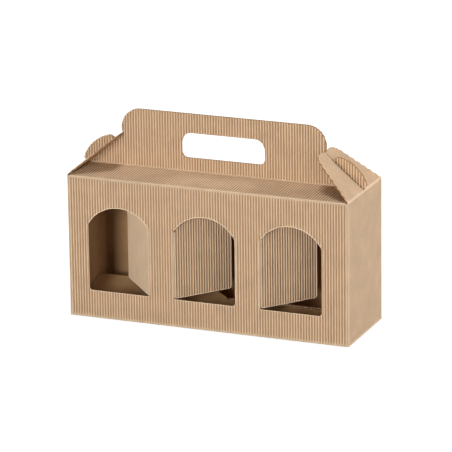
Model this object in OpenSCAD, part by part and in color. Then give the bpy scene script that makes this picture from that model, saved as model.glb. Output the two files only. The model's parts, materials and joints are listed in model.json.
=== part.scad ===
// Gable carrier box for three jars, folded from one blank of single-face corrugated card.
// The flutes are outside and the smooth liner is inside.
// Length runs along X, the windows face -Y, and the box stands on Z = 0, centred on the origin.

/* [Body] */
// Outer length of the box
body_l = 270; // [245:1:310]
// Outer depth of the box
body_w = 86; // [78:1:100]
// Height of the walls up to the eaves
body_h = 133; // [122:1:160]
// Rise of each roof panel from the eaves to the ridge
roof_rise = 2; // [0.5:0.1:6]
// Width of the glue lap inside the back right corner
glue_lap_w = 16; // [10:1:20]

/* [Card] */
// Spacing of the flutes
flute_pitch = 2.6; // [2:0.1:4]
// Height of the flutes above the liner
flute_h = 0.9; // [0.6:0.05:1.4]
// Thickness of the smooth liner
liner_t = 0.4; // [0.3:0.05:0.8]
// Gap between a flap and the card that it folds from
hinge_gap = 0.3; // [0.2:0.05:0.6]

/* [Windows] */
// Width of each window
window_w = 59.5; // [50:0.5:66]
// Distance between neighbouring windows, centre to centre
window_pitch = 82.5; // [76:0.5:84]
// Shift of the row of windows from the middle of the front
window_shift = -2.8; // [-6:0.1:6]
// Height of the window sills above the base
window_sill = 26.3; // [25:0.1:36]
// Height at which the sides of a window turn into its arch
window_spring = 88.3; // [70:0.1:94]
// Rise of the arch over a window
window_rise = 17.4; // [12:0.1:22]
// Radius of the lower corners of a window
window_corner_r = 3; // [1.5:0.1:6]
// Cut that parts a window flap from the front wall
window_cut = 0.4; // [0.3:0.05:0.8]
// Angle at which the left window flap stands inside the front wall
left_flap_angle = 48; // [20:1:80]
// Angle at which the other two window flaps stand inside the front wall
window_flap_angle = 52; // [20:1:80]

/* [Handle] */
// Height of the handle above the ridge
handle_h = 53; // [47:0.5:60]
// Length of the handle across its shoulders
handle_l = 197; // [186:1:206]
// Radius of the round shoulders
shoulder_r = 18; // [14:0.5:20]
// Gap between the two handle panels
handle_gap = 0.4; // [0.2:0.05:1]
// Length of the hand hole
hole_l = 80; // [70:1:100]
// Height of the hand hole
hole_h = 23.2; // [18:0.2:28]
// Height of the hand hole above the ridge
hole_rise = 12; // [8:0.5:16]
// Radius of the upper corners of the hand hole
hole_upper_r = 9.5; // [5:0.5:11]
// Radius of the lower corners of the hand hole
hole_lower_r = 5.5; // [3:0.5:9]

/* [End flaps] */
// Height of a closed end flap above the centre of the shoulder that it leans on, square to the flap
end_flap_lift = 6.6; // [4:0.1:9]
// Width of an end flap where its straight sides would reach the tip
end_flap_tip_w = 41.6; // [34:0.2:50]
// Radius of the tip corners of an end flap
end_flap_r = 10.5; // [5:0.5:13]
// Width of card between the lock slit and the tip of an end flap
end_flap_bridge = 8.6; // [6:0.2:12]
// Gap between an end flap and the handle
end_flap_gap = 0.5; // [0.3:0.05:1]
// Height of a lock tab above the end flap
tab_h = 9.8; // [8:0.2:12]
// Height of a lock tab at its ends, under its crown
tab_end_h = 4.4; // [3:0.2:6]
// Radius of the upper corner of a lock tab
tab_tip_r = 5; // [2:0.5:6]
// Gap between a lock tab and its slit
tab_gap = 0.4; // [0.3:0.05:0.8]

/* [Bottom] */
// Slope of the front bottom panel, which stands up to its joint while the box is empty
front_slope = 18.3; // [14:0.1:19]
// Slope of the back bottom panel
back_slope = 21.6; // [14:0.1:23]
// Reach of the long half of the front bottom panel past the middle of the box
front_reach = 19.6; // [14:0.2:22]
// Reach of the long half of the back bottom panel past the middle of the box
back_reach = 13; // [8:0.2:15]
// Length over which a bottom panel steps from its long half to its short half
bottom_step = 23; // [16:1:40]
// Gap between the bottom panels and the card beside them
bottom_gap = 0.6; // [0.4:0.1:1.5]
// Length of the small end panels of the bottom
bottom_end_l = 40; // [28:1:50]
// Slope of the small end panels of the bottom
bottom_end_slope = 7; // [4:0.5:8]

/* [Hidden] */
$fn = 96;
kraft = "#CDAA84";

// Card: total thickness, and the overrun of every cut past it
card_t = liner_t + flute_h;
over = card_t;
// Depth to which one panel of the blank enters the next where they join at a fold
fold_bite_share = 0.8;
fold_bite = fold_bite_share * liner_t;

// Flutes: a whole number fills the length and the depth of the box
long_n = round(body_l / flute_pitch);
long_p = body_l / long_n;
end_n = round(body_w / flute_pitch);
end_p = body_w / end_n;

// Inside of the walls
inner_l = body_l - 2 * card_t;
inner_w = body_w - 2 * card_t;

// Fold line of the end flaps, and the wall top that stays clear of it
pivot_x = body_l / 2 - card_t / 2;
pivot_z = body_h;
wall_top = pivot_z - card_t / 2 - hinge_gap;

// Ridge, handle and the round shoulders of the handle
ridge_z = body_h + roof_rise;
handle_top = ridge_z + handle_h;
shoulder_x = handle_l / 2 - shoulder_r;
shoulder_z = handle_top - shoulder_r;

// End flaps: they lean on the shoulders, and reach from the fold to the shoulder
to_shoulder = [pivot_x - shoulder_x, shoulder_z - pivot_z];
lean = asin(end_flap_lift / norm(to_shoulder));
end_flap_slope = atan2(to_shoulder[1], to_shoulder[0]) + lean;
shoulder_along = norm(to_shoulder) * cos(lean);
shoulder_near = end_flap_lift + card_t / 2;
end_flap_l = shoulder_along - sqrt(pow(shoulder_r, 2) - pow(shoulder_near, 2)) - 2 * end_flap_gap;
end_flap_taper = atan((body_w - end_flap_tip_w) / 2 / end_flap_l);
tip_a = end_flap_l - end_flap_r;
tip_y = body_w / 2 - tip_a * tan(end_flap_taper) - end_flap_r / cos(end_flap_taper);

// Card under the end flaps keeps this distance from their middle plane
edge_n = card_t / 2 + end_flap_gap;

// Roof panels: one flute short of the box at the eaves, and narrower at the ridge, under the end flaps
roof_l = body_l - 2 * long_p;
roof_ridge_x = edge_x(ridge_z);
eave_lip_share = 0.25;
eave_lip = eave_lip_share * liner_t;
roof_depth = body_w / 2 + eave_lip - handle_gap / 2;
roof_slope = atan(roof_rise / roof_depth);
roof_run = roof_depth / cos(roof_slope);

// Handle: its foot is inside the roof card
handle_foot = ridge_z - card_t + fold_bite;

// Lock tabs and their slits
slit_l = end_flap_l - end_flap_bridge;
slit_w = 2 * card_t + handle_gap + 2 * tab_gap;
tab_start = card_t;
tab_l = slit_l - tab_start - 2 * tab_gap;
tab_crown = tab_h - tab_end_h;
tab_r = (pow(tab_l / 2, 2) + pow(tab_crown, 2)) / (2 * tab_crown);
tab_mid = [tab_start + tab_l / 2, card_t / 2 + tab_h - tab_r];
to_tip = [tab_l / 2 - tab_tip_r, sqrt(pow(tab_r - tab_tip_r, 2) - pow(tab_l / 2 - tab_tip_r, 2))];

// Windows: an arch of one radius over straight sides
arch_r = (pow(window_w / 2, 2) + pow(window_rise, 2)) / (2 * window_rise);
arch_z = window_spring + window_rise - arch_r;
window_hinge_y = card_t - body_w / 2;

// Bottom panels: the long half of each lies over the short half of the other, which ends where they cross
bottom_l = inner_l - 2 * bottom_gap;
bottom_y = inner_w / 2 + fold_bite;
bottom_rises = tan(front_slope) + tan(back_slope);
bottom_cross = bottom_y * (tan(back_slope) - tan(front_slope)) / bottom_rises;
front_end = bottom_cross - (card_t / cos(front_slope) + hinge_gap) / bottom_rises;
back_end = bottom_cross + (card_t / cos(back_slope) + hinge_gap) / bottom_rises;
front_runs = [for (y = [front_end, back_end, front_reach]) (bottom_y + y) / cos(front_slope)];
back_runs = [for (y = [back_end, front_end, -back_reach]) (bottom_y - y) / cos(back_slope)];
bottom_end_shares = [0.7, 0.34];

// Glue lap: clear of the bottom panels and of the roof
glue_lap_ends = [bottom_y * tan(back_slope), wall_top - 2 * card_t];

// Crests and valleys of n flutes at spacing p, from the first crest to the last valley
function flute_points(n, p) = [for (i = [0:2 * n - 1]) [i * p / 2, (i % 2) * flute_h]];

// X at which card at height z stays clear of the closed right end flap
function edge_x(z) = pivot_x - (z - pivot_z) / tan(end_flap_slope) - edge_n / sin(end_flap_slope);

// Fluted card: n flutes side by side along X, crests at Y = 0, liner at Y = card_t, flutes along Z
module fluted_card(n, p, run) {
    linear_extrude(run)
        polygon(concat(flute_points(n, p), [[n * p, 0], [n * p, card_t], [0, card_t]]));
}

// Moves a flat shape drawn in X and Z onto the closed slope of the right end flap
module on_slope() {
    translate([pivot_x, pivot_z])
        mirror([1, 0])
            rotate(end_flap_slope)
                children();
}

// Stands a flat shape drawn in X and Z upright, through the card on both sides of Y = y
module upright(y, depth) {
    translate([0, y + depth / 2, 0])
        rotate([90, 0, 0])
            linear_extrude(depth)
                children();
}

// Walls: one tube of card, fluted on all four sides
module walls() {
    front = [for (q = flute_points(long_n, long_p)) [q[0] - body_l / 2, q[1] - body_w / 2]];
    right = [for (q = flute_points(end_n, end_p)) [body_l / 2 - q[1], q[0] - body_w / 2]];
    back = [for (q = front) -q];
    left = [for (q = right) -q];
    linear_extrude(wall_top)
        difference() {
            polygon(concat(front, right, back, left));
            square([inner_l, inner_w], center = true);
        }
}

// Outline of one window centred on X = 0, drawn in by the given inset
module window_outline(inset) {
    half_w = window_w / 2 - inset;
    sill = window_sill + inset;
    corner_r = window_corner_r - inset;
    for (side = [-1, 1])
        translate([side * (half_w - corner_r), sill + corner_r])
            circle(corner_r);
    translate([corner_r - half_w, sill])
        square([2 * (half_w - corner_r), arch_z - sill]);
    translate([-half_w, sill + corner_r])
        square([2 * half_w, arch_z - sill - corner_r]);
    intersection() {
        translate([0, arch_z])
            circle(arch_r - inset);
        translate([-half_w, arch_z - over])
            square([2 * half_w, arch_r + over]);
    }
}

// Windows through the front wall
module window_cuts() {
    for (i = [-1:1])
        translate([window_shift + i * window_pitch, 0, 0])
            upright(card_t / 2 - body_w / 2, card_t + 2 * over)
                window_outline(0);
}

// Strip along the back edge of the right end wall, glued to it from inside
module glue_lap() {
    translate([inner_l / 2 - card_t, inner_w / 2 - glue_lap_w, glue_lap_ends[0]])
        cube([card_t + fold_bite, glue_lap_w + fold_bite, glue_lap_ends[1] - glue_lap_ends[0]]);
}

// Front roof panel, from the eaves to the ridge, flutes from front to back
module roof_panel() {
    outline = [
        [-roof_l / 2, 0], [roof_l / 2, 0], [roof_ridge_x, roof_run], [-roof_ridge_x, roof_run]
    ];
    translate([0, -body_w / 2 - eave_lip, body_h])
        rotate([roof_slope - 90, 0, 0])
            intersection() {
                translate([-roof_l / 2, 0, 0])
                    fluted_card(long_n - 2, long_p, roof_run);
                upright(card_t / 2, card_t + 2 * over)
                    polygon(outline);
            }
}

// Lock tab on the sloping edge of the handle, with a round crown and a rounded upper corner
module tab_outline() {
    wedge = tab_tip_r + over;
    on_slope()
        difference() {
            intersection() {
                translate(tab_mid)
                    circle(tab_r);
                translate([tab_start, -2 * edge_n])
                    square([tab_l, 2 * edge_n + tab_h + over]);
            }
            translate(tab_mid + to_tip)
                difference() {
                    polygon([[0, 0], [wedge, 0], wedge / to_tip[0] * to_tip]);
                    circle(tab_tip_r);
                }
        }
}

// Hand hole, with larger corners above than below
module hand_hole() {
    low = ridge_z + hole_rise;
    for (side = [-1, 1]) {
        translate([side * (hole_l / 2 - hole_lower_r), low + hole_lower_r])
            circle(hole_lower_r);
        translate([side * (hole_l / 2 - hole_upper_r), low + hole_h - hole_upper_r])
            circle(hole_upper_r);
    }
    translate([hole_lower_r - hole_l / 2, low])
        square([hole_l - 2 * hole_lower_r, hole_h - hole_upper_r]);
    translate([hole_upper_r - hole_l / 2, low + hole_lower_r])
        square([hole_l - 2 * hole_upper_r, hole_h - hole_lower_r]);
    translate([-hole_l / 2, low + hole_lower_r])
        square([hole_l, hole_h - hole_lower_r - hole_upper_r]);
}

// Outline of both handle panels, in X and Z
module handle_outline() {
    foot_x = edge_x(handle_foot);
    neck_z = pivot_z + (pivot_x - shoulder_x) * tan(end_flap_slope) - edge_n / cos(end_flap_slope);
    difference() {
        union() {
            polygon([
                [-foot_x, handle_foot], [foot_x, handle_foot], [shoulder_x, neck_z], [-shoulder_x, neck_z]
            ]);
            translate([-shoulder_x, shoulder_z])
                square([2 * shoulder_x, shoulder_r]);
            for (side = [0, 1])
                mirror([side, 0]) {
                    translate([shoulder_x, shoulder_z])
                        circle(shoulder_r);
                    tab_outline();
                }
        }
        hand_hole();
    }
}

// Two handle panels, liner to liner, flutes outwards
module handle_panels() {
    intersection() {
        for (turn = [0, 180])
            rotate([0, 0, turn])
                translate([-body_l / 2 - long_p, -card_t - handle_gap / 2, handle_foot])
                    fluted_card(long_n + 2, long_p, handle_top + over - handle_foot);
        upright(0, 2 * (card_t + handle_gap + over))
            handle_outline();
    }
}

// Card of the given outline on its flutes, which run along Y from the outline's first edge
module bottom_card(n, p, run) {
    intersection() {
        translate([-n * p / 2, run + over, 0])
            rotate([90, 0, 0])
                fluted_card(n, p, run + 2 * over);
        translate([0, 0, -over])
            linear_extrude(card_t + 2 * over)
                children();
    }
}

// Long panel of the bottom, at the front, with its long half on the left
// The runs are the lengths of its short half, its step and its long half
module bottom_panel(slope, runs) {
    outline = [
        [-bottom_l / 2, 0], [bottom_l / 2, 0], [bottom_l / 2, runs[0]], [-bottom_gap, runs[0]],
        [-bottom_gap, runs[1]], [-bottom_step, runs[2]], [-bottom_l / 2, runs[2]]
    ];
    translate([0, -bottom_y, 0])
        rotate([slope, 0, 0])
            bottom_card(long_n, long_p, runs[2])
                polygon(outline);
}

// Small left end panel of the bottom, under the long ones
module bottom_end_panel() {
    base = bottom_end_shares[0] * inner_w / 2;
    tip = bottom_end_shares[1] * inner_w / 2;
    translate([-inner_l / 2 - fold_bite, 0, 0])
        rotate([bottom_end_slope, 0, -90])
            bottom_card(end_n, end_p, bottom_end_l)
                polygon([[-base, 0], [base, 0], [tip, bottom_end_l], [-tip, bottom_end_l]]);
}

// All four panels of the bottom, cut off inside the flutes of the walls
module bottom() {
    intersection() {
        union() {
            bottom_panel(front_slope, front_runs);
            rotate([0, 0, 180])
                bottom_panel(back_slope, back_runs);
            for (turn = [0, 180])
                rotate([0, 0, turn])
                    bottom_end_panel();
        }
        translate([-inner_l / 2 - fold_bite, -bottom_y, 0])
            cube([inner_l + 2 * fold_bite, 2 * bottom_y, body_h]);
    }
}

// The folded blank without its free flaps
module carton() {
    color(kraft)
        union() {
            difference() {
                walls();
                window_cuts();
            }
            glue_lap();
            for (turn = [0, 180])
                rotate([0, 0, turn])
                    roof_panel();
            bottom();
            handle_panels();
        }
}

// Outline of an end flap, along X from its fold, with its lock slit
module end_flap_outline() {
    side_n = [sin(end_flap_taper), cos(end_flap_taper)];
    corner = [tip_a, tip_y] + end_flap_r * side_n;
    difference() {
        union() {
            polygon([
                [0, -body_w / 2], [corner[0], -corner[1]], [end_flap_l, -tip_y],
                [end_flap_l, tip_y], corner, [0, body_w / 2]
            ]);
            for (side = [-1, 1])
                translate([tip_a, side * tip_y])
                    circle(end_flap_r);
        }
        translate([-over, -slit_w / 2])
            square([slit_l + over, slit_w]);
    }
}

// End flap of the left end, closed on the slope of the handle
module left_end_flap() {
    color(kraft)
        translate([-pivot_x, 0, pivot_z])
            rotate([0, -end_flap_slope, 0])
                intersection() {
                    translate([0, body_w / 2, card_t / 2])
                        rotate([-90, 0, -90])
                            fluted_card(end_n, end_p, end_flap_l + over);
                    translate([0, 0, -over])
                        linear_extrude(2 * over)
                            end_flap_outline();
                }
}

// End flap of the right end
module right_end_flap() {
    mirror([1, 0, 0])
        left_end_flap();
}

// Divider cut from window i, folded inwards by an angle about its left edge, side -1, or right edge, side 1
module window_flap(i, side, angle) {
    middle = window_shift + i * window_pitch;
    first = floor((middle - window_w / 2 + body_l / 2) / long_p);
    count = ceil(window_w / long_p) + 1;
    hinge = [middle + side * window_w / 2, window_hinge_y, 0];
    color(kraft)
        translate(hinge)
            rotate([0, 0, -side * angle])
                translate(-hinge)
                    intersection() {
                        translate([first * long_p - body_l / 2, -body_w / 2, 0])
                            fluted_card(count, long_p, wall_top);
                        translate([middle, 0, 0])
                            upright(card_t / 2 - body_w / 2, card_t + 2 * over)
                                window_outline(window_cut);
                    }
}

module left_window_flap() {
    window_flap(-1, 1, left_flap_angle);
}

module middle_window_flap() {
    window_flap(0, -1, window_flap_angle);
}

module right_window_flap() {
    window_flap(1, -1, window_flap_angle);
}

carton();
left_end_flap();
right_end_flap();
left_window_flap();
middle_window_flap();
right_window_flap();
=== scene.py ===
"""Jar carrier box of single-face fluted kraft card, dressed and set up for a studio picture.

Each panel of the blank is modelled flat, as the card is made: a fluted paper is shaped one flute at a time,
repeated and given its thickness, a smooth liner is laid behind it, and both are die-cut and folded into place.
A flat panel has X across the flutes, Y along them, and its flute tops at Z = 0. It is in millimetres until it
is placed, because the cuts and folds are fractions of a millimetre.
"""

import json
import math
from types import SimpleNamespace

import bpy
import numpy as np
from mathutils import Matrix, Vector


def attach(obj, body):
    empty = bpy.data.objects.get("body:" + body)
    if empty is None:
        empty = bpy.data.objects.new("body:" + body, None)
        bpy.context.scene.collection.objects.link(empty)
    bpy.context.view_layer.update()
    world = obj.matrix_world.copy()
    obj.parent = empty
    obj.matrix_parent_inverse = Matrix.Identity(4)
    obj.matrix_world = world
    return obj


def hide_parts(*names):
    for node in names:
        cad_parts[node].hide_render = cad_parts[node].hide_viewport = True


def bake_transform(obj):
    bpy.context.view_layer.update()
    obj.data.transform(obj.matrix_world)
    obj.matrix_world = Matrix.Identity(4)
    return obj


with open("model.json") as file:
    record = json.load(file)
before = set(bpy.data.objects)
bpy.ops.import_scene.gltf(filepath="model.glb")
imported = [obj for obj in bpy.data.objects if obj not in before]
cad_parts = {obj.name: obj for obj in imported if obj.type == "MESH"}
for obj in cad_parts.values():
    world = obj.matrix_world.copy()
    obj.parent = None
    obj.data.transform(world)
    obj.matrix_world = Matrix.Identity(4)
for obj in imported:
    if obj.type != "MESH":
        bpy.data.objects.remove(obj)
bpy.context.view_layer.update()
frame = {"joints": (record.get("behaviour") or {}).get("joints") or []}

bl_info = {
    "name": "Jar carrier box",
    "version": (1, 0, 0),
    "blender": (4, 5, 0),
    "location": "3D View > Sidebar > Carrier",
    "description": "Folds a fluted card carrier box over its packed frame",
    "category": "Object",
}

MM = 0.001
FLUTED_PAPER = "Fluted kraft paper"
LINER_PAPER = "Smooth kraft liner"
FLOOR_PAPER = "Studio paper"
WHITE = (1, 1, 1, 1)
RIGHT, BACK, UP = Vector((1, 0, 0)), Vector((0, 1, 0)), Vector((0, 0, 1))
HALF_TURN = Matrix.Rotation(math.pi, 4, "Z")
SMOOTH_ANGLE = math.radians(62)
# Straight stretches in one flute, a round corner, a long arc, a fixed fold and a flap's fold.
WAVE_STEPS = 8
ARC_STEPS = 12
ARCH_STEPS = 32
STRIP_STEPS = 6
FLAP_STEPS = 10
# Points this close are one point, and points this close to a line lie on it, in millimetres.
SAME_PLACE = 1e-4
ON_CUT = 0.01
# A sheet is this much longer than what is cut from it, in millimetres.
SPARE = 0.8
# A cutting die is this many times as deep as the card.
DIE_DEPTH = 4
# A face whose normal rises less than this from the sheet stands upright on it, as the side of a cut does.
UPRIGHT = 0.3
DIVIDERS = ("left_window_flap", "middle_window_flap", "right_window_flap")
# Edge of its window that each divider is folded about: -1 is the left one and 1 the right one.
HINGE_SIDES = (1, -1, -1)
# Shares of the flute height and of the liner's thickness that are left along a crushed cut.
RIM_SHARE = 0.15
LINER_SHARE = 0.33
# A divider's crease starts above the sill and ends above the arch's foot by this share of the window's corner.
CREASE_LIFT_SHARE = 1 / 3
# Distance from a fold as a share of the crease width, with the share of the flute height that is left there.
CREASE_ROWS = ((0.0, 0.12), (0.45, 0.18), (0.95, 1.0))
# Azimuth of each lamp from the front to the right, and its elevation, in degrees.
LAMPS = {"key": (-3, 10), "side": (105, 10), "fill": (45, 10), "top": (0, 89), "rear": (180, 45)}
# Sockets of a colour mix node, which have the same names as those of its other kinds.
SHARE_IN, FIRST_IN, SECOND_IN, MIXED_OUT = 0, 6, 7, 2


def setting(name, description, value, **kind):
    """A number in the sidebar, with the kind of unit that it has."""
    return bpy.props.FloatProperty(name=name, description=description, default=value, **kind)


def length(name, description, millimetres):
    """A size in the sidebar, given in millimetres."""
    return setting(name, description, millimetres * MM, unit="LENGTH", precision=4)


def angle(name, description, degrees):
    """An angle in the sidebar, given in degrees."""
    return setting(name, description, math.radians(degrees), subtype="ANGLE")


def colour(name, description, code):
    """A colour in the sidebar, given as an sRGB hex value."""
    return bpy.props.FloatVectorProperty(name=name, description=description, subtype="COLOR", size=4,
                                         min=0.0, max=1.0, default=linear(code))


def linear(code):
    """Turns an sRGB hex value into the linear colour that a shader takes."""
    shares = [int(code[k:k + 2], 16) / 255 for k in (1, 3, 5)]
    return (*[s / 12.92 if s <= 0.04045 else ((s + 0.055) / 1.055) ** 2.4 for s in shares], 1.0)


class CarrierSizes(bpy.types.PropertyGroup):
    """Sizes of the folded box."""
    body_l: length("Body length", "Outer length of the box", 270)
    body_w: length("Body width", "Outer width from front to back", 86)
    body_h: length("Body height", "Height of the eaves", 133)
    roof_rise: length("Roof rise", "Rise of the roof from the eaves to the ridge", 2)
    window_w: length("Window width", "Width of one arched window", 59.5)
    window_pitch: length("Window spacing", "Distance between window centres", 82.5)
    window_shift: length("Window shift", "How far the row of windows is off the middle", -2.8)
    window_sill: length("Window sill", "Height of the windows' lower edge", 26.3)
    window_spring: length("Window spring", "Height where the arches begin", 88.3)
    window_rise: length("Window rise", "Rise of the arches", 17.4)
    window_corner: length("Window corner", "Radius of the windows' lower corners", 3)
    window_cut: length("Window cut", "Clearance of a divider in its window", 0.4)
    handle_h: length("Handle height", "Height of the handle above the ridge", 53)
    handle_l: length("Handle length", "Length of the handle at its shoulders", 197)
    shoulder_r: length("Shoulder radius", "Radius of the handle's upper corners", 18)
    handle_gap: length("Handle gap", "Gap between the two handle panels", 0.4)
    hole_l: length("Hand hole length", "Length of the hand hole", 80)
    hole_h: length("Hand hole height", "Height of the hand hole", 23.2)
    hole_rise: length("Hand hole rise", "Height of the hand hole above the ridge", 12)
    hole_upper_r: length("Hole upper radius", "Radius of the hand hole's upper corners", 9.5)
    hole_lower_r: length("Hole lower radius", "Radius of the hand hole's lower corners", 5.5)
    end_lift: length("End flap lift", "How far the end flap passes under the handle's shoulder", 6.6)
    end_tip_w: length("End flap tip", "Width of an end flap at its tip", 41.6)
    end_tip_r: length("End flap radius", "Radius of an end flap's tip corners", 14)
    end_lobe: length("End flap lobe", "How far an end flap reaches past the handle's edge on either side", 2.2)
    end_bridge: length("End flap bridge", "Card between the slit and the tip of an end flap", 8.6)
    end_gap: length("End flap gap", "Gap between an end flap and the handle", 0.5)
    tab_h: length("Tab height", "How far a lock tab stands over an end flap", 9.8)
    tab_end_h: length("Tab end height", "Height of a lock tab's upper end", 4.4)
    tab_tip_r: length("Tab radius", "Radius of a lock tab's upper corner", 5)
    tab_gap: length("Tab gap", "Gap between a lock tab and its slit", 0.4)
    front_reach: length("Front bottom reach", "How far the front bottom panel passes the box's middle", 19.6)
    back_reach: length("Back bottom reach", "How far the back bottom panel passes the box's middle", 13)
    bottom_step: length("Bottom step", "Length of the slanted hook of the bottom panels", 23)
    bottom_gap: length("Bottom gap", "Gap between the bottom panels and the card beside them", 0.6)
    bottom_touch: length("Bottom touch", "How far a bottom panel enters the flutes of the one on it", 0.3)
    bottom_end_l: length("Bottom end length", "Length of the small bottom end panels", 40)
    bottom_end_base: length("Bottom end base", "Width of the small bottom end panels at their fold", 58.4)
    bottom_end_tip: length("Bottom end tip", "Width of the small bottom end panels at their tip", 28.4)
    lap_w: length("Glue lap", "Width of the glue lap in the back right corner", 16)


class CardSizes(bpy.types.PropertyGroup):
    """Sizes of the fluted card itself."""
    pitch: length("Flute spacing", "Distance from one flute top to the next", 2.6)
    wave_h: length("Flute height", "Height of the fluted paper's wave", 0.98)
    paper_t: length("Fluted paper", "Thickness of the fluted paper", 0.2)
    liner_t: length("Liner", "Thickness of the smooth liner", 0.3)
    card_t: length("Card thickness", "Thickness of the card over its flutes", 1.3)
    crease_w: length("Crease width", "How far a fold presses the flutes down on either side", 2.6)
    ridge_w: length("Ridge crease", "Width of the crease where the handle stands up from the roof", 1.8)
    crease_level: length("Crease level", "Depth that a fold presses the flutes to", 0.3)
    fold_r: length("Fold radius", "Radius of the card's outer face in a fold", 0.6)
    fold_t: length("Fold thickness", "Thickness of the pressed card in a fold", 0.6)
    fold_bite: length("Fold bite", "How deep a bottom panel starts inside the wall", 0.32)
    flap_fold_r: length("Flap fold radius", "Radius of the end flaps' folds", 2.5)
    rim_w: length("Cut rim", "Width of card that the cutting die presses flat along a window", 0.9)
    rim_level: length("Rim level", "Depth that the cutting die presses the flutes to", 0.25)
    liner_level: length("Liner rim level", "Depth that the cutting die lifts the liner towards", 0.175)
    score_w: length("Score width", "Width of the lines that the handle presses into the end flaps", 0.8)
    score_level: length("Score level", "Depth of the lines that the handle presses into the end flaps", 0.6)


class FoldAngles(bpy.types.PropertyGroup):
    """Angles at which the bottom is folded."""
    front: angle("Front bottom", "Slope of the front bottom panel", 18.3)
    back: angle("Back bottom", "Slope of the back bottom panel", 21.6)
    end: angle("Bottom ends", "Slope of the small bottom end panels", 7)


class CardColours(bpy.types.PropertyGroup):
    """Colours of the kraft papers and the floor."""
    # The flute tops show the fluted paper's own colour. The flute feet colour is painted shade, mixed in
    # deeper between the flutes.
    flute_top: colour("Flute tops", "Fluted kraft paper on its unshaded flute tops", "#D8C0A5")
    painted_valley_shade: colour("Painted valley shade", "Fluted kraft paper deep between the flutes", "#A5815A")
    # Cut edges: pale crushed fibres with a painted highlight.
    cut_edge: colour("Cut edges", "Pale fibres and a painted highlight along a crushed cut", "#F0D9BC")
    # Cut sides: the raw cut, browner with painted shade on the card's thickness.
    cut_side: colour("Cut sides", "Raw side of a cut with painted shade, seen from its edge", "#8C6740")
    liner: colour("Liner", "Smooth kraft liner inside the box", "#BC956A")
    fibre: colour("Fibres", "Dark fibres in the papers", "#A5835F")
    floor: colour("Floor", "Studio floor", "#919191")


class StudioSettings(bpy.types.PropertyGroup):
    """Camera, lamps and floor."""
    azimuth: angle("Azimuth", "Camera angle round the box", 22.41)
    elevation: angle("Elevation", "Camera angle over the floor", 17.11)
    roll: angle("Roll", "Camera tilt", -0.779)
    place: bpy.props.FloatVectorProperty(name="Place", description="Camera place", subtype="TRANSLATION",
                                         default=(1.23946, -3.00212, 1.08592))
    lens: setting("Lens", "Focal length in millimetres", 301.1, unit="CAMERA")
    sensor: setting("Sensor", "Width of the camera's sensor in millimetres", 36, unit="CAMERA")
    key: setting("Key light", "Soft light from the front", 19.0, unit="POWER")
    side: setting("Side light", "Soft light on the right end", 19.6, unit="POWER")
    fill: setting("Fill light", "Weak light from the front right", 4.1, unit="POWER")
    top: setting("Top light", "Soft light from above", 13.2, unit="POWER")
    rear: setting("Rear light", "Soft light from behind", 10.0, unit="POWER")
    sky: setting("Room light", "Even light of the pale room", 0.15)
    glow: setting("Floor glow", "How white the camera sees the floor", 0.85)
    lamp_distance: length("Lamp distance", "Distance of the lamps from what they point at", 1600)
    lamp_size: length("Lamp size", "Side of a square lamp", 450)
    aim_h: length("Aim height", "Height on the box that the lamps point at", 80)
    floor_size: length("Floor size", "Side of the square floor", 14000)
    floor_drop: length("Floor drop", "How far the floor lies under the box", 0.2)


def in_mm(group):
    """A sidebar group's sizes in millimetres."""
    return SimpleNamespace(**{name: getattr(group, name) / MM for name in group.__annotations__})


def card_sizes():
    """The card's sizes in millimetres."""
    return in_mm(bpy.context.scene.carrier_card)


def box_sizes():
    """The box's sizes with the places that follow from them, in millimetres."""
    s = in_mm(bpy.context.scene.carrier_sizes)
    c = card_sizes()
    s.half_l = s.body_l / 2
    s.half_w = s.body_w / 2
    s.ridge = s.body_h + s.roof_rise
    s.long_count = round(s.body_l / c.pitch)
    s.end_count = round(s.body_w / c.pitch)
    s.long_pitch = s.body_l / s.long_count
    s.end_pitch = s.body_w / s.end_count
    s.set_back = c.crease_level + c.fold_r
    s.pivot = (s.half_l - c.card_t / 2, s.body_h)
    s.shoulder = (s.handle_l / 2 - s.shoulder_r, s.ridge + s.handle_h - s.shoulder_r)
    reach = (s.pivot[0] - s.shoulder[0], s.shoulder[1] - s.pivot[1])
    lean = math.asin(s.end_lift / math.hypot(*reach))
    s.slope = math.atan2(reach[1], reach[0]) + lean
    s.edge_n = c.card_t / 2 + s.end_gap
    shoulder_run = math.sqrt(s.shoulder_r ** 2 - (s.end_lift + c.card_t / 2) ** 2)
    s.flap_l = math.hypot(*reach) * math.cos(lean) - shoulder_run - 2 * s.end_gap
    s.tab_start = c.card_t
    s.tab_l = s.flap_l - s.end_bridge - s.tab_start - 2 * s.tab_gap
    s.slit_l = s.tab_start + s.tab_l
    s.slit_w = 2 * c.card_t + s.handle_gap + 2 * s.tab_gap
    # The end flap's crease ends this far below the fold on the wall, and this far beyond it on the flap.
    s.flap_turn = math.pi / 2 - s.slope
    s.crease_foot = (c.flap_fold_r - c.card_t / 2 + c.crease_level) * math.tan(s.flap_turn / 2)
    s.window_x = [s.window_shift + k * s.window_pitch for k in (-1, 0, 1)]
    s.hinge_x = [x + side * s.window_w / 2 for x, side in zip(s.window_x, HINGE_SIDES)]
    s.eave_x = s.half_l - s.long_pitch
    s.bottom_y = s.half_w - c.card_t + c.fold_bite
    s.bottom_side = c.card_t + s.bottom_gap
    s.lap_foot = s.bottom_y * math.tan(bpy.context.scene.carrier_angles.back)
    s.roof_slope = math.atan2(s.roof_rise, s.half_w)
    return s


def on_slope(s, along, over):
    """Place (x, z) on the right end flap's slope, from its fold and from the middle of its card."""
    run, rise = math.cos(s.slope), math.sin(s.slope)
    return s.pivot[0] - along * run + over * rise, s.pivot[1] + along * rise + over * run


def edge_x(s, z):
    """Where the handle's sloping edge is at a height."""
    return s.pivot[0] - (z - s.pivot[1]) / math.tan(s.slope) - s.edge_n / math.sin(s.slope)


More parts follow.
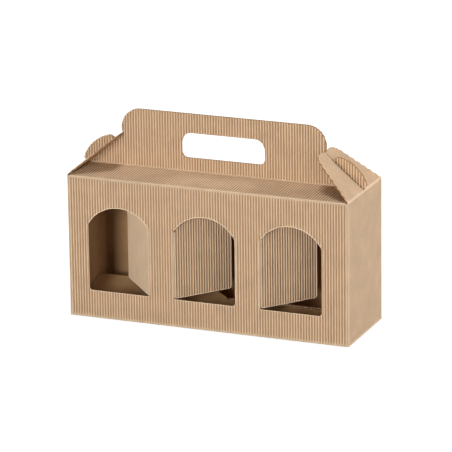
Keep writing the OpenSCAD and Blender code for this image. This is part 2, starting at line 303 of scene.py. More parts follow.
def arc(centre, radius, start, end, steps=ARC_STEPS):
    """Points on an arc from the start angle to the end angle, in degrees."""
    angles = np.radians(np.linspace(start, end, steps + 1))
    return [(centre[0] + radius * math.cos(t), centre[1] + radius * math.sin(t)) for t in angles]


def shrunk(outline, by):
    """An outline, counted anticlockwise, with its border moved inwards."""
    points = np.array(outline)
    ahead = np.roll(points, -1, axis=0) - points
    ahead /= np.linalg.norm(ahead, axis=1)[:, None]
    inwards = np.stack([-ahead[:, 1], ahead[:, 0]], axis=1)
    before = np.roll(inwards, 1, axis=0)
    bisector = inwards + before
    bisector /= np.sum(bisector * inwards, axis=1)[:, None]
    return [tuple(p) for p in points + by * bisector]


def window_outline(s, middle):
    """Arched window in the front panel, from the panel's lower left corner."""
    x = middle + s.half_l
    half = s.window_w / 2
    r = s.window_corner
    arch_r = (half ** 2 + s.window_rise ** 2) / (2 * s.window_rise)
    spread = math.degrees(math.asin(half / arch_r))
    crown = (x, s.window_spring + s.window_rise - arch_r)
    return (arc((x - half + r, s.window_sill + r), r, 180, 270)
            + arc((x + half - r, s.window_sill + r), r, 270, 360)
            + arc(crown, arch_r, 90 - spread, 90 + spread, ARCH_STEPS))


def hole_outline(s, foot):
    """Hand hole in a handle panel, from the panel's lower left corner."""
    left, right = s.half_l - s.hole_l / 2, s.half_l + s.hole_l / 2
    low = s.ridge + s.hole_rise - foot
    high = low + s.hole_h
    low_r, high_r = s.hole_lower_r, s.hole_upper_r
    return (arc((left + low_r, low + low_r), low_r, 180, 270)
            + arc((right - low_r, low + low_r), low_r, 270, 360)
            + arc((right - high_r, high - high_r), high_r, 0, 90)
            + arc((left + high_r, high - high_r), high_r, 90, 180))


def handle_outline(s, foot):
    """Handle panel with a lock tab on each sloping edge, from the panel's lower left corner."""
    start, tab_l = s.tab_start, s.tab_l
    crown = s.tab_h - s.tab_end_h
    tab_r = ((tab_l / 2) ** 2 + crown ** 2) / (2 * crown)
    middle = (start + tab_l / 2, card_sizes().card_t / 2 + s.tab_h - tab_r)
    tip_x = start + tab_l - s.tab_tip_r
    tip = (tip_x, middle[1] + math.sqrt((tab_r - s.tab_tip_r) ** 2 - (tip_x - middle[0]) ** 2))
    meet = math.degrees(math.atan2(tip[1] - middle[1], tip[0] - middle[0]))
    begin = math.degrees(math.acos((start - middle[0]) / tab_r))
    low = (s.ridge - s.pivot[1] - start * math.sin(s.slope)) / math.cos(s.slope)
    side = [(start, low)] + arc(middle, tab_r, begin, meet, ARCH_STEPS) + arc(tip, s.tab_tip_r, meet, 0)[1:]
    side += [(start + tab_l, -s.edge_n)]
    neck = math.degrees(s.slope - math.asin((s.end_lift - s.edge_n) / s.shoulder_r))
    right = [on_slope(s, *p) for p in side] + arc(s.shoulder, s.shoulder_r, -neck, 90)
    right = [(right[0][0], foot - SPARE)] + right
    left = [(-x, z) for x, z in reversed(right)]
    return [(x + s.half_l, z - foot) for x, z in right + left]


def end_flap_outline(s):
    """End flap with its slit, from the left end of its fold."""
    half, tip, r = s.half_w, s.end_tip_w / 2, s.end_tip_r
    taper = math.degrees(math.atan2(half - tip, s.flap_l))
    reach = s.flap_l + s.end_lobe
    # The side leans in by the taper, so the corner arc turns from the side's own direction to the tip's.
    back = r * math.tan(math.radians(90 - taper) / 2)
    corner = arc((tip - back, reach - r), r, taper, 90)
    slit = s.slit_w / 2
    low = s.crease_foot - SPARE
    right = [(slit, s.slit_l), (slit, low), (half, low)] + corner + [(slit, reach), (slit, s.flap_l)]
    left = [(-x, y) for x, y in reversed(right)]
    return [(x + half, y) for x, y in right + left]


def begun(add, **settings):
    """Starts a piece from a primitive, selected alone."""
    bpy.ops.object.select_all(action="DESELECT")
    add(**settings)
    return bpy.context.object


def make_active(piece):
    """Selects one object alone."""
    bpy.ops.object.select_all(action="DESELECT")
    piece.select_set(True)
    bpy.context.view_layer.objects.active = piece


def edit_all(piece):
    """Opens a piece in edit mode with everything selected."""
    make_active(piece)
    bpy.ops.object.mode_set(mode="EDIT")
    bpy.ops.mesh.select_mode(type="VERT")
    bpy.ops.mesh.select_all(action="SELECT")


def edit_chosen(piece, chosen):
    """Opens a piece in edit mode with the chosen vertices selected."""
    edit_all(piece)
    bpy.ops.mesh.select_all(action="DESELECT")
    close_edit()
    piece.data.vertices.foreach_set("select", chosen)
    bpy.ops.object.mode_set(mode="EDIT")


def close_edit():
    """Goes back to object mode."""
    bpy.ops.object.mode_set(mode="OBJECT")


def named(piece, name):
    """Names a piece and its mesh."""
    piece.name = name
    piece.data.name = name
    return piece


def moved(piece, place):
    """Moves a piece and puts its new place in its mesh."""
    make_active(piece)
    piece.matrix_world = place
    bpy.ops.object.transform_apply(location=True, rotation=True, scale=True)
    return piece


def copied(piece):
    """A copy of a piece with its own mesh."""
    make_active(piece)
    bpy.ops.object.duplicate()
    return bpy.context.object


def joined(pieces):
    """Joins pieces into the first one."""
    make_active(pieces[0])
    for piece in pieces[1:]:
        piece.select_set(True)
    if len(pieces) > 1:
        bpy.ops.object.join()
    return pieces[0]


def apply_modifier(piece, kind, **settings):
    """Adds a modifier to a piece and applies it."""
    make_active(piece)
    modifier = piece.modifiers.new(kind.title(), kind)
    for name, value in settings.items():
        setattr(modifier, name, value)
    bpy.ops.object.modifier_apply(modifier=modifier.name)


def points_of(piece):
    """The places of a piece's vertices."""
    places = np.empty(len(piece.data.vertices) * 3, np.float32)
    piece.data.vertices.foreach_get("co", places)
    return places.reshape(-1, 3)


def note(piece, name, values, domain="POINT"):
    """Notes a value on each vertex or face of a piece, for its material."""
    attribute = piece.data.attributes.get(name) or piece.data.attributes.new(name, "FLOAT", domain)
    attribute.data.foreach_set("value", np.asarray(values, np.float32))


def spread(sheet, width, low, high, depth=0):
    """Spreads a unit sheet over its width from X = 0 and from low to high along Y, at its depth."""
    edit_all(sheet)
    bpy.ops.transform.translate(value=(0.5, 0.5, 0))
    bpy.ops.transform.resize(value=(width, high - low, 1), center_override=(0, 0, 0))
    bpy.ops.transform.translate(value=(0, low, -depth))
    close_edit()


def press(piece, chosen, level, left):
    """Presses the chosen vertices towards a depth, so that a share of their height is left."""
    edit_chosen(piece, chosen)
    bpy.ops.transform.resize(value=(1, 1, left), center_override=(0, 0, -level))
    close_edit()


def split_rows(paper, rows):
    """Splits the faces of a fluted paper across its flutes, at each row's Y."""
    edit_all(paper)
    for y in rows:
        bpy.ops.mesh.select_all(action="SELECT")
        bpy.ops.mesh.bisect(plane_co=(0, y, 0), plane_no=BACK, threshold=SAME_PLACE)
    close_edit()


def trim(sheet, place, normal):
    """Cuts off what lies beyond a plane, on the side that its normal points to."""
    edit_all(sheet)
    bpy.ops.mesh.bisect(plane_co=place, plane_no=Vector(normal).normalized(), clear_outer=True,
                        threshold=SAME_PLACE)
    close_edit()


def fluted_paper(count, pitch, low, high, creases):
    """Fluted paper with its first flute top at X = 0, from low to high along Y.
    Each crease is given by its Y and its width."""
    c = card_sizes()
    paper = begun(bpy.ops.mesh.primitive_grid_add, x_subdivisions=WAVE_STEPS, y_subdivisions=1, size=1)
    spread(paper, pitch, low, high)
    rows = {}
    for crease, width in creases:
        for share, left in CREASE_ROWS:
            for y in (crease - share * width, crease + share * width):
                if low - SAME_PLACE < y < high + SAME_PLACE:
                    rows[y] = left
    split_rows(paper, rows)
    for k in range(1, WAVE_STEPS):
        drop = c.wave_h * (1 - math.cos(2 * math.pi * k / WAVE_STEPS)) / 2
        edit_chosen(paper, np.abs(points_of(paper)[:, 0] - k * pitch / WAVE_STEPS) < ON_CUT)
        bpy.ops.transform.translate(value=(0, 0, -drop))
        close_edit()
    for y, left in rows.items():
        press(paper, np.abs(points_of(paper)[:, 1] - y) < ON_CUT, c.crease_level, left)
    apply_modifier(paper, "ARRAY", count=count, use_relative_offset=False, use_constant_offset=True,
                   constant_offset_displace=(pitch, 0, 0), use_merge_vertices=True,
                   merge_threshold=SAME_PLACE)
    return paper


def press_sides(paper, sides):
    """Presses the flutes flat beside the folds that run along them, at their X."""
    c = card_sizes()
    shares, lefts = zip(*CREASE_ROWS)
    for side in sides:
        for x in np.unique(points_of(paper)[:, 0].round(3)):
            distance = abs(x - side) / c.crease_w
            if distance < 1:
                press(paper, np.abs(points_of(paper)[:, 0] - x) < ON_CUT, c.crease_level,
                      float(np.interp(distance, shares, lefts)))


def score(paper, x, start):
    """Presses a line into the flutes, from a Y to the upper end of the paper."""
    c = card_sizes()
    split_rows(paper, (start - c.rim_w, start))
    places = points_of(paper)
    line = (np.abs(places[:, 0] - x) < c.score_w / 2) & (places[:, 1] > start - ON_CUT)
    press(paper, line, c.score_level, RIM_SHARE)


def plain_panel(count, pitch, low, high, creases=(), sides=(), scores=(), ends=None, narrowed=0):
    """Flat card panel with straight edges, as fluted paper and liner. Its ends are given by their X where they
    aren't those of its flutes, and it may be narrower at its upper edge."""
    c = card_sizes()
    width = count * pitch
    left, right = ends or (0, width)
    paper = fluted_paper(count, pitch, low, high, creases)
    press_sides(paper, sides)
    for x, start in scores:
        score(paper, x, start)
    liner = begun(bpy.ops.mesh.primitive_plane_add, size=1)
    spread(liner, width, low, high, c.card_t - c.liner_t)
    for sheet, thickness in ((paper, c.paper_t), (liner, c.liner_t)):
        trim(sheet, (left, low, 0), (low - high, narrowed, 0))
        trim(sheet, (right, low, 0), (high - low, narrowed, 0))
        apply_modifier(sheet, "SOLIDIFY", thickness=thickness, offset=-1, use_even_offset=True)
    return paper, liner


def die(outlines):
    """Cutting die through the card, for one or more outlines."""
    c = card_sizes()
    cutters = []
    for outline in outlines:
        cutter = begun(bpy.ops.mesh.primitive_circle_add, vertices=len(outline), fill_type="NGON")
        for vertex, (x, y) in zip(cutter.data.vertices, outline):
            vertex.co = (x, y, c.card_t)
        edit_all(cutter)
        bpy.ops.mesh.extrude_region_move(TRANSFORM_OT_translate={"value": (0, 0, -DIE_DEPTH * c.card_t)})
        bpy.ops.mesh.select_all(action="SELECT")
        bpy.ops.mesh.normals_make_consistent(inside=False)
        close_edit()
        cutters.append(cutter)
    return joined(cutters)


def cut(piece, cutter, operation):
    """Cuts a closed piece with a die."""
    apply_modifier(piece, "BOOLEAN", operation=operation, object=cutter, solver="EXACT")


def on_outlines(piece, outlines):
    """Which vertices of a piece lie on the cut lines."""
    places = points_of(piece)[:, :2]
    found = np.zeros(len(places), bool)
    for outline in outlines:
        start = np.array(outline)
        run = np.roll(start, -1, axis=0) - start
        for a, d in zip(start, run):
            t = np.clip((places - a) @ d / (d @ d), 0, 1)
            found |= np.linalg.norm(places - a - t[:, None] * d, axis=1) < ON_CUT
    return found


def die_cut(paper, liner, rim_w, keep=(), drop=(), folds=(), bared=()):
    """Cuts outlines through fluted paper and liner. What is inside the outlines to keep stays, and what is
    inside the ones to drop falls out. The die crushes the card to a thin rim, painted pale except on the
    folds, which are given by their X: pale crushed fibres with a painted highlight. A rim without width is a
    plain cut. Along the bared outlines its side is painted brown: the raw cut with painted shade on it."""
    c = card_sizes()
    crushed = rim_w > 0
    cuts, seams = [], []
    for outlines, inwards in ((keep, 1), (drop, -1)):
        if outlines:
            inner = [shrunk(o, inwards * rim_w) for o in outlines] if crushed else outlines
            cuts.append((outlines, die(outlines), die(inner), inwards > 0))
            seams += inner
    for sheet, level, left in ((paper, c.rim_level, RIM_SHARE), (liner, c.liner_level, LINER_SHARE)):
        rims = [crushed_rim(sheet, *one, level, left) for one in cuts] if crushed else []
        for outlines, edge, inset, inside in cuts:
            cut(sheet, inset, "INTERSECT" if inside else "DIFFERENCE")
        weld(sheet, rims, seams)
        # A crushed rim is painted pale: crushed fibres with a painted highlight.
        pale = on_outlines(sheet, [*keep, *drop]) & crushed
        for x in folds:
            pale &= np.abs(points_of(sheet)[:, 0] - x) > rim_w
        note(sheet, "cut_edge", pale)
        # An open cut's side is painted brown: the raw cut with painted shade on it.
        bare = on_outlines(sheet, bared)
        note(sheet, "cut_side", [bare[list(face.vertices)].all() and abs(face.normal.z) < UPRIGHT
                                 for face in sheet.data.polygons], "FACE")
    for outlines, edge, inset, inside in cuts:
        bpy.data.objects.remove(edge)
        bpy.data.objects.remove(inset)


def crushed_rim(sheet, outlines, edge, inset, inside, level, left):
    """Rim of a sheet between two dies, pressed towards a depth along its outlines."""
    rim = copied(sheet)
    cut(rim, edge if inside else inset, "INTERSECT")
    cut(rim, inset if inside else edge, "DIFFERENCE")
    # A ring-shaped face folds wrongly once it is pressed, so it is split while it is flat.
    apply_modifier(rim, "TRIANGULATE", min_vertices=5)
    press(rim, on_outlines(rim, outlines), level, left)
    return rim


def weld(sheet, rims, seams):
    """Joins a sheet with its crushed rims and deletes the faces between them.
    The seams are marked sharp, so that a rim doesn't shade the flutes that it ends."""
    joined([sheet, *rims])
    edit_all(sheet)
    bpy.ops.mesh.remove_doubles(threshold=SAME_PLACE)
    bpy.ops.mesh.select_mode(type="FACE")
    bpy.ops.mesh.select_all(action="DESELECT")
    bpy.ops.mesh.select_interior_faces()
    bpy.ops.mesh.delete(type="FACE")
    close_edit()
    if rims:
        edit_chosen(sheet, on_outlines(sheet, seams))
        bpy.ops.mesh.mark_sharp()
        close_edit()


def card(paper, liner, name):
    """Joins fluted paper and liner into one panel, and notes how deep each point is between the flutes,
    which sets the painted shade there.
    """
    for sheet, finish in ((paper, FLUTED_PAPER), (liner, LINER_PAPER)):
        sheet.data.materials.clear()
        sheet.data.materials.append(bpy.data.materials[finish])
    panel = named(joined([paper, liner]), name)
    note(panel, "flute_depth", np.clip(-points_of(panel)[:, 2] / card_sizes().wave_h, 0, 1))
    return panel


def placed(panel, origin, across, along):
    """Folds a flat panel into its place: its X runs across and its Y along, from an origin in millimetres."""
    x, y = Vector(across).normalized(), Vector(along).normalized()
    turn = Matrix((x, y, x.cross(y))).transposed().to_4x4()
    return moved(panel, Matrix.Translation(Vector(origin) * MM) @ turn @ Matrix.Scale(MM, 4))


def turned_copy(panel, name):
    """The same panel on the opposite side of the box, half a turn round."""
    return moved(named(copied(panel), name), HALF_TURN)


def strip(name, centre, radius, turn, half, along, towards, out, steps=STRIP_STEPS):
    """Pressed card round a fold: an arc about a centre that turns from out towards another direction.
    It reaches half its length along the fold on either side."""
    c = card_sizes()
    piece = begun(bpy.ops.mesh.primitive_grid_add, x_subdivisions=1, y_subdivisions=steps, size=1)
    named(piece, name)
    for vertex in piece.data.vertices:
        t = turn * (vertex.co.y + 0.5)
        round_fold = out * (radius * math.cos(t)) + towards * (radius * math.sin(t))
        vertex.co = (Vector(centre) + round_fold + along * (2 * half * vertex.co.x)) * MM
    if along.dot(out.cross(towards)) > 0:
        edit_all(piece)
        bpy.ops.mesh.flip_normals()
        close_edit()
    apply_modifier(piece, "SOLIDIFY", thickness=c.fold_t * MM, offset=-1)
    piece.data.materials.append(bpy.data.materials[FLUTED_PAPER])
    # The pressed card of a fold takes the painted shade of its depth between the flutes.
    note(piece, "flute_depth", np.full(len(piece.data.vertices), c.crease_level / c.wave_h))
    return piece


def finish_piece(piece, name):
    """Names a finished piece and smooths its flutes while its cut edges stay crisp.
    The large faces lead, so that a narrow rim doesn't shade the whole flute beside it."""
    named(piece, name)
    make_active(piece)
    bpy.ops.object.shade_smooth_by_angle(angle=SMOOTH_ANGLE)
    apply_modifier(piece, "WEIGHTED_NORMAL", keep_sharp=True)


def walls(s):
    """The four walls, with the windows cut in the front one, and the glue lap."""
    c = card_sizes()
    low, top = s.set_back, s.body_h - s.set_back
    sheets = plain_panel(s.long_count, s.long_pitch, low, top, ((low, c.crease_w), (top, c.crease_w)),
                         (0, s.body_l), ends=(s.set_back, s.body_l - s.set_back))
    back_sheets = [copied(sheet) for sheet in sheets]
    die_cut(*sheets, c.rim_w, drop=[window_outline(s, x) for x in s.window_x],
            folds=[x + s.half_l for x in s.hinge_x])
    front = placed(card(*sheets, "front_wall"), (-s.half_l, -s.half_w, 0), RIGHT, UP)
    back = placed(card(*back_sheets, "back_wall"), (s.half_l, s.half_w, 0), -RIGHT, UP)
    sheets = plain_panel(s.end_count, s.end_pitch, low, s.body_h - s.crease_foot,
                         ((low, c.crease_w), (s.body_h, c.crease_w)), (0, s.body_w),
                         ends=(s.set_back, s.body_w - s.set_back))
    right = placed(card(*sheets, "right_end"), (s.half_l, -s.half_w, 0), BACK, UP)
    left = turned_copy(right, "left_end")
    lap_count = round(s.lap_w / s.end_pitch)
    lap_y = s.half_w - c.card_t - lap_count * s.end_pitch
    sheets = plain_panel(lap_count, s.end_pitch, s.lap_foot, top - c.card_t)
    lap = placed(card(*sheets, "glue_lap"), (s.half_l - c.card_t, lap_y, 0), BACK, UP)
    return [front, back, right, left, lap]


def roofs(s):
    """The two roof panels, which narrow from the eaves to the ridge."""
    c = card_sizes()
    start, run = s.set_back, math.hypot(s.half_w, s.roof_rise) - c.card_t
    eave, ridge = s.eave_x, edge_x(s, s.ridge)
    sheets = plain_panel(s.long_count, s.long_pitch, start, run, ((start, c.crease_w), (run, c.ridge_w)),
                         ends=(s.half_l - eave, s.half_l + eave), narrowed=eave - ridge)
    along = (0, math.cos(s.roof_slope), math.sin(s.roof_slope))
    front = placed(card(*sheets, "front_roof"), (-s.half_l, -s.half_w, s.body_h), RIGHT, along)
    return [front, turned_copy(front, "back_roof")]


def handles(s):
    """The two handle panels, face to face, with their lock tabs and the hand hole."""
    c = card_sizes()
    foot = s.ridge - c.card_t / 2
    top = s.ridge + s.handle_h - foot
    # The lock tabs reach a little past the ends of the box, so the sheet has one flute more at each end.
    spare = s.long_pitch
    sheets = plain_panel(s.long_count + 2, s.long_pitch, 0, top + SPARE, ((0, c.ridge_w),))
    edge, hole = ([(x + spare, y) for x, y in o] for o in (handle_outline(s, foot), hole_outline(s, foot)))
    die_cut(*sheets, 0, keep=[edge], drop=[hole], bared=[edge, hole])
    front = placed(card(*sheets, "front_handle"), (-s.half_l - spare, -s.handle_gap / 2 - c.card_t, foot),
                   RIGHT, UP)
    return [front, turned_copy(front, "back_handle")]


def long_bottom(name, s, slope, ends):
    """One long panel of the bottom, at the front. Its short half, step and long half end at the given Y."""
    c = card_sizes()
    half = s.half_l - s.bottom_side
    short, hook, deep = [(s.bottom_y + y) / math.cos(slope) for y in ends]
    outline = [(-half, -SPARE), (half, -SPARE), (half, deep), (s.bottom_step, deep), (s.bottom_gap, hook),
               (s.bottom_gap, short), (-half, short)]
    sheets = plain_panel(s.long_count, s.long_pitch, 0, deep + SPARE, ((0, c.crease_w),))
    die_cut(*sheets, 0, keep=[[(x + s.half_l, y) for x, y in outline]])
    along = (0, math.cos(slope), math.sin(slope))
    return placed(card(*sheets, name), (s.half_l, -s.bottom_y, 0), -RIGHT, along)


def bottoms(s):
    """The self-locking bottom: two hooked panels and two small end panels, fluted underneath.
    Each hooked panel's short half ends under the other panel, where the two cross."""
    c = card_sizes()
    angles = bpy.context.scene.carrier_angles
    rises = math.tan(angles.front) + math.tan(angles.back)
    cross = s.bottom_y * (math.tan(angles.back) - math.tan(angles.front)) / rises
    front_end = cross - (c.card_t / math.cos(angles.front) - s.bottom_touch) / rises
    back_end = cross + (c.card_t / math.cos(angles.back) - s.bottom_touch) / rises
    front = long_bottom("front_bottom", s, angles.front, (front_end, back_end, s.front_reach))
    back = long_bottom("back_bottom", s, angles.back, (-back_end, -front_end, s.back_reach))
    moved(back, HALF_TURN)
    middle, base, tip = s.half_w, s.bottom_end_base / 2, s.bottom_end_tip / 2
    outline = [(middle - base, -SPARE), (middle + base, -SPARE), (middle + tip, s.bottom_end_l),
               (middle - tip, s.bottom_end_l)]
    sheets = plain_panel(s.end_count, s.end_pitch, 0, s.bottom_end_l + SPARE, ((0, c.crease_w),))
    die_cut(*sheets, 0, keep=[outline])
    left = placed(card(*sheets, "left_bottom"), (c.card_t - c.fold_bite - s.half_l, -s.half_w, 0), BACK,
                  (math.cos(angles.end), 0, math.sin(angles.end)))
    return [front, back, left, turned_copy(left, "right_bottom")]


def folds(s):
    """Pressed card round the fixed folds: eaves, upright corners and lower edges."""
    c = card_sizes()
    angles = bpy.context.scene.carrier_angles
    r, level = c.fold_r, c.crease_level
    right, front, top = s.half_l - s.set_back, s.set_back - s.half_w, s.body_h - s.crease_foot
    low, eave = s.set_back, s.body_h - s.set_back
    square = math.pi / 2
    made = [
        strip("front_eave", (0, front, eave), r, square - s.roof_slope, s.eave_x, RIGHT, UP, -BACK),
        strip("front_foot", (0, front, low), r, square + angles.front, s.half_l - level, RIGHT, -UP, -BACK),
        strip("right_foot", (right, 0, low), r, square + angles.end, s.half_w - level, BACK, -UP, RIGHT),
    ]
    for side, name in ((1, "right"), (-1, "left")):
        made.append(strip("front_" + name + "_corner", (side * right, front, (top + level) / 2), r, square,
                          (top - level) / 2, UP, -BACK, side * RIGHT))
    return made + [turned_copy(piece, piece.name + "_opposite") for piece in made]


def fold_of(body):
    """Where a flap's fold is, in millimetres, and how far the flap is folded in from its flat place."""
    joint = next(j for j in frame["joints"] if j["child"] == body)
    return Vector(joint["pos_m"]) / MM, math.radians(-joint["range_deg"][0])


def add_node(tree, kind, settings=None, inputs=None):
    """Adds a shader node. Its inputs are values, or the sockets that they come from."""
    node = tree.nodes.new("ShaderNode" + kind)
    for name, value in (settings or {}).items():
        setattr(node, name, value)
    for name, value in (inputs or {}).items():
        if isinstance(value, bpy.types.NodeSocket):
            tree.links.new(value, node.inputs[name])
        else:
            node.inputs[name].default_value = value
    return node


def new_finish(name, looks):
    """Starts a material: its nodes, and its shader with the given looks."""
    material = bpy.data.materials.new(name)
    material.use_nodes = True
    shader = material.node_tree.nodes["Principled BSDF"]
    for socket, value in looks.items():
        shader.inputs[socket].default_value = value
    return material.node_tree, shader


def kraft(name, colours, top, foot):
    """Unbleached kraft paper, machine made and uncoated: matt, faintly cloudy, with fine darker fibres.
    Top is the paper's own colour. Foot is painted shade, mixed in deeper between the flutes. Both papers are
    painted paler along a crushed cut, pale crushed fibres with a painted highlight, and browner on the side of
    an open one, the raw cut with painted shade on it."""
    # Fibres are about a tenth of a millimetre wide, and are drawn wider so that they show.
    cloud_mm, fibre_mm, tooth_mm, tooth_depth_mm = 14, 0.9, 0.5, 0.1
    tree, shader = new_finish(name, {"Roughness": 0.88, "IOR": 1.47, "Specular IOR Level": 0.3})
    place = add_node(tree, "TexCoord").outputs["Object"]
    depth, pale, bare = [add_node(tree, "Attribute", {"attribute_name": noted}).outputs["Fac"]
                         for noted in ("flute_depth", "cut_edge", "cut_side")]
    cloud, fibres, tooth = [
        add_node(tree, "TexNoise", None, {"Vector": place, "Scale": 1 / (size * MM), **looks}).outputs["Fac"]
        for size, looks in ((cloud_mm, {"Detail": 4.0}),
                            (fibre_mm, {"Detail": 3.0, "Roughness": 0.7, "Distortion": 1.5}),
                            (tooth_mm, {"Detail": 3.0}))]
    # How deep a point lies between the flutes sets its share of painted shade.
    deep = add_node(tree, "MapRange", {"interpolation_type": "SMOOTHSTEP"},
                    {"Value": depth, "From Min": 0.0, "From Max": 0.8}).outputs["Result"]
    clouded = add_node(tree, "MapRange", None, {"Value": cloud, "From Min": 0.3, "From Max": 0.7,
                                                "To Min": 0.94, "To Max": 1.06}).outputs["Result"]
    flecks = add_node(tree, "MapRange", None, {"Value": fibres, "From Min": 0.56, "From Max": 0.72,
                                               "To Min": 0.0, "To Max": 0.5}).outputs["Result"]
    # Over the paper's own colour go the painted valley shade, the pale cut with its painted highlight and the
    # brown cut side with its painted shade.
    tint = tuple(top)
    for share, other in ((deep, foot), (pale, colours.cut_edge), (bare, colours.cut_side)):
        tint = add_node(tree, "Mix", {"data_type": "RGBA"},
                        {SHARE_IN: share, FIRST_IN: tint, SECOND_IN: tuple(other)}).outputs[MIXED_OUT]
    toned = add_node(tree, "VectorMath", {"operation": "SCALE"}, {"Vector": tint, "Scale": clouded})
    paper = add_node(tree, "Mix", {"data_type": "RGBA"},
                     {SHARE_IN: flecks, FIRST_IN: toned.outputs["Vector"], SECOND_IN: tuple(colours.fibre)})
    bump = add_node(tree, "Bump", None, {"Height": tooth, "Strength": 0.25, "Distance": tooth_depth_mm * MM})
    tree.links.new(paper.outputs[MIXED_OUT], shader.inputs["Base Color"])
    tree.links.new(bump.outputs["Normal"], shader.inputs["Normal"])


def floor_paper(tint, strength):
    """Seamless white studio paper: plain and matt. The camera sees it as almost even white, with the box's
    shadow."""
    tree, shader = new_finish(FLOOR_PAPER, {"Base Color": tuple(tint), "Roughness": 0.9,
                                            "Specular IOR Level": 0.1})
    path = add_node(tree, "LightPath")
    seen = path.outputs["Is Camera Ray"]
    for ray in ("Is Glossy Ray", "Is Transmission Ray"):
        seen = add_node(tree, "Math", {"operation": "ADD", "use_clamp": True},
                        {0: seen, 1: path.outputs[ray]}).outputs["Value"]
    share = add_node(tree, "Math", {"operation": "MULTIPLY"}, {0: seen, 1: strength})
    glow = add_node(tree, "Emission", None, {"Color": WHITE, "Strength": share.outputs["Value"]})
    both = add_node(tree, "AddShader", None, {0: shader.outputs["BSDF"], 1: glow.outputs["Emission"]})
    tree.links.new(both.outputs["Shader"], tree.nodes["Material Output"].inputs["Surface"])


def bearing(azimuth, elevation):
    """Direction from the box to a place round it, with its azimuth counted from the front to the right."""
    flat = math.cos(elevation)
    return Vector((math.sin(azimuth) * flat, -math.cos(azimuth) * flat, math.sin(elevation)))


class CARRIER_OT_materials(bpy.types.Operator):
    """Mixes the kraft papers and the studio paper"""
    bl_idname = "carrier.materials"
    bl_label = "Papers"

    def execute(self, context):
        colours = context.scene.carrier_colours
        kraft(FLUTED_PAPER, colours, colours.flute_top, colours.painted_valley_shade)
        kraft(LINER_PAPER, colours, colours.liner, colours.liner)
        floor_paper(colours.floor, context.scene.carrier_studio.glow)
        return {"FINISHED"}


class CARRIER_OT_carton(bpy.types.Operator):
    """Folds the carton: walls, roof, handle and bottom"""
    bl_idname = "carrier.carton"
    bl_label = "Carton"

    def execute(self, context):
        s = box_sizes()
        carton = joined(walls(s) + roofs(s) + handles(s) + bottoms(s) + folds(s))
        finish_piece(carton, "carton_card")
        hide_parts("carton")
        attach(carton, "carton")
        return {"FINISHED"}


class CARRIER_OT_end_flaps(bpy.types.Operator):
    """Cuts the end flaps and closes them over the lock tabs"""
    bl_idname = "carrier.end_flaps"
    bl_label = "End flaps"

    def execute(self, context):
        s, c = box_sizes(), card_sizes()
        scores = [(s.half_w + side * s.slit_w / 2, s.slit_l) for side in (-1, 1)]
        sheets = plain_panel(s.end_count, s.end_pitch, s.crease_foot, s.flap_l + s.end_lobe + SPARE,
                             ((0, c.crease_w),), scores=scores)
        outline = end_flap_outline(s)
        die_cut(*sheets, 0, keep=[outline], bared=[outline])
        x, z = on_slope(s, 0, c.card_t / 2)
        right = placed(card(*sheets, "right_end_flap_card"), (x, -s.half_w, z), BACK,
                       (-math.cos(s.slope), 0, math.sin(s.slope)))
        left = turned_copy(right, "left_end_flap_card")
        for side, flap in (("right", right), ("left", left)):
            finish_piece(flap, side + "_end_flap_card")
            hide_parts(side + "_end_flap")
            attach(flap, side + "_end_flap")
        return {"FINISHED"}


class CARRIER_OT_dividers(bpy.types.Operator):
    """Cuts the dividers from the windows and folds them in"""
    bl_idname = "carrier.dividers"
    bl_label = "Dividers"

    def execute(self, context):
        s, c = box_sizes(), card_sizes()
        for body, middle, hinge_x, side in zip(DIVIDERS, s.window_x, s.hinge_x, HINGE_SIDES):
            sheets = plain_panel(s.long_count, s.long_pitch, s.window_sill, s.window_spring + s.window_rise)
            die_cut(*sheets, c.rim_w, keep=[shrunk(window_outline(s, middle), s.window_cut)],
                    folds=[hinge_x + s.half_l])
            flap = placed(card(*sheets, body + "_card"), (-s.half_l, -s.half_w, 0), RIGHT, UP)
            hinge, turn = fold_of(body)
            place = Matrix.Translation(hinge * MM)
            moved(flap, place @ Matrix.Rotation(-side * turn, 4, "Z") @ place.inverted())
            finish_piece(flap, body + "_card")
            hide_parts(body)
            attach(flap, body)
        return {"FINISHED"}


class CARRIER_OT_creases(bpy.types.Operator):
    """Presses the creases that the flaps turn on"""
    bl_idname = "carrier.creases"
    bl_label = "Creases"

    def execute(self, context):
        s, c = box_sizes(), card_sizes()
        r = c.flap_fold_r
        outer = s.half_l - c.crease_level
        centre = Vector((outer - r, 0, s.body_h - s.crease_foot))
        right = strip("right_end_crease", centre, r, s.flap_turn, s.half_w - c.crease_level, BACK, UP, RIGHT,
                      FLAP_STEPS)
        left = turned_copy(right, "left_end_crease")
        for name, piece, side in (("right", right, 1), ("left", left, -1)):
            finish_piece(piece, name + "_end_crease")
            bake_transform(piece)
        lift = s.window_corner * CREASE_LIFT_SHARE
        low, high = s.window_sill + lift, s.window_spring + lift
        # Radius of the crushed card's outer face about the fold that a divider turns on.
        r = c.card_t - c.rim_level * (1 - RIM_SHARE)
        for body, side in zip(DIVIDERS, HINGE_SIDES):
            hinge, turn = fold_of(body)
            name = body.replace("flap", "crease")
            piece = strip(name, (hinge.x, hinge.y, (low + high) / 2), r, turn, (high - low) / 2, UP,
                          -side * RIGHT, -BACK, FLAP_STEPS)
            finish_piece(piece, name)
            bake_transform(piece)
        return {"FINISHED"}


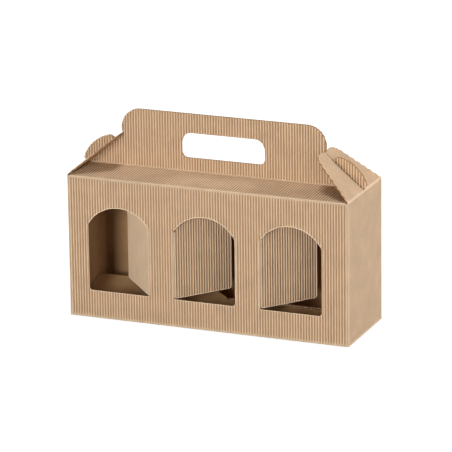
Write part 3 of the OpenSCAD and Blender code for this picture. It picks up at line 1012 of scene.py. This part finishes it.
class CARRIER_OT_studio(bpy.types.Operator):
    """Sets up the floor, the lights and the camera"""
    bl_idname = "carrier.studio"
    bl_label = "Studio"

    def execute(self, context):
        scene = context.scene
        studio = scene.carrier_studio
        scene.view_settings.view_transform = "Standard"
        floor = begun(bpy.ops.mesh.primitive_plane_add, size=studio.floor_size)
        floor.name = "studio_floor"
        edit_all(floor)
        bpy.ops.transform.translate(value=(0, 0, -studio.floor_drop))
        close_edit()
        floor.data.materials.append(bpy.data.materials[FLOOR_PAPER])
        room = bpy.data.worlds.new("Pale room")
        scene.world = room
        room.use_nodes = True
        room.node_tree.nodes["Background"].inputs["Color"].default_value = WHITE
        room.node_tree.nodes["Background"].inputs["Strength"].default_value = studio.sky
        for name, angles in LAMPS.items():
            away = bearing(*[math.radians(a) for a in angles])
            bpy.ops.object.light_add(type="AREA", location=UP * studio.aim_h + away * studio.lamp_distance)
            lamp = context.object
            lamp.name = name + "_light"
            lamp.rotation_euler = away.to_track_quat("Z", "Y").to_euler()
            lamp.data.energy = getattr(studio, name)
            lamp.data.size = studio.lamp_size
        away = bearing(studio.azimuth, studio.elevation)
        level = Vector((math.cos(studio.azimuth), math.sin(studio.azimuth), 0))
        upright = away.cross(level)
        x = level * math.cos(studio.roll) + upright * math.sin(studio.roll)
        y = upright * math.cos(studio.roll) - level * math.sin(studio.roll)
        bpy.ops.object.camera_add()
        camera = context.object
        camera.matrix_world = Matrix.Translation(studio.place) @ Matrix((x, y, away)).transposed().to_4x4()
        camera.data.sensor_width = studio.sensor
        camera.data.lens = studio.lens
        scene.camera = camera
        return {"FINISHED"}


class CARRIER_PT_sidebar(bpy.types.Panel):
    """Lists the steps that make the box"""
    bl_label = "Jar carrier box"
    bl_idname = "CARRIER_PT_sidebar"
    bl_space_type = "VIEW_3D"
    bl_region_type = "UI"
    bl_category = "Carrier"

    def draw(self, context):
        for step in STEPS:
            self.layout.operator(step.bl_idname)


GROUPS = {"carrier_sizes": CarrierSizes, "carrier_angles": FoldAngles, "carrier_card": CardSizes,
          "carrier_colours": CardColours, "carrier_studio": StudioSettings}
STEPS = (CARRIER_OT_materials, CARRIER_OT_carton, CARRIER_OT_end_flaps, CARRIER_OT_dividers,
         CARRIER_OT_creases, CARRIER_OT_studio)


def register():
    for cls in (*GROUPS.values(), *STEPS, CARRIER_PT_sidebar):
        bpy.utils.register_class(cls)
    for name, group in GROUPS.items():
        setattr(bpy.types.Scene, name, bpy.props.PointerProperty(type=group))


def unregister():
    for name in GROUPS:
        delattr(bpy.types.Scene, name)
    for cls in (CARRIER_PT_sidebar, *reversed(STEPS), *reversed(GROUPS.values())):
        bpy.utils.unregister_class(cls)


def main():
    register()
    bpy.ops.carrier.materials()
    bpy.ops.carrier.carton()
    bpy.ops.carrier.end_flaps()
    bpy.ops.carrier.dividers()
    bpy.ops.carrier.creases()
    bpy.ops.carrier.studio()


if __name__ == "__main__":
    main()
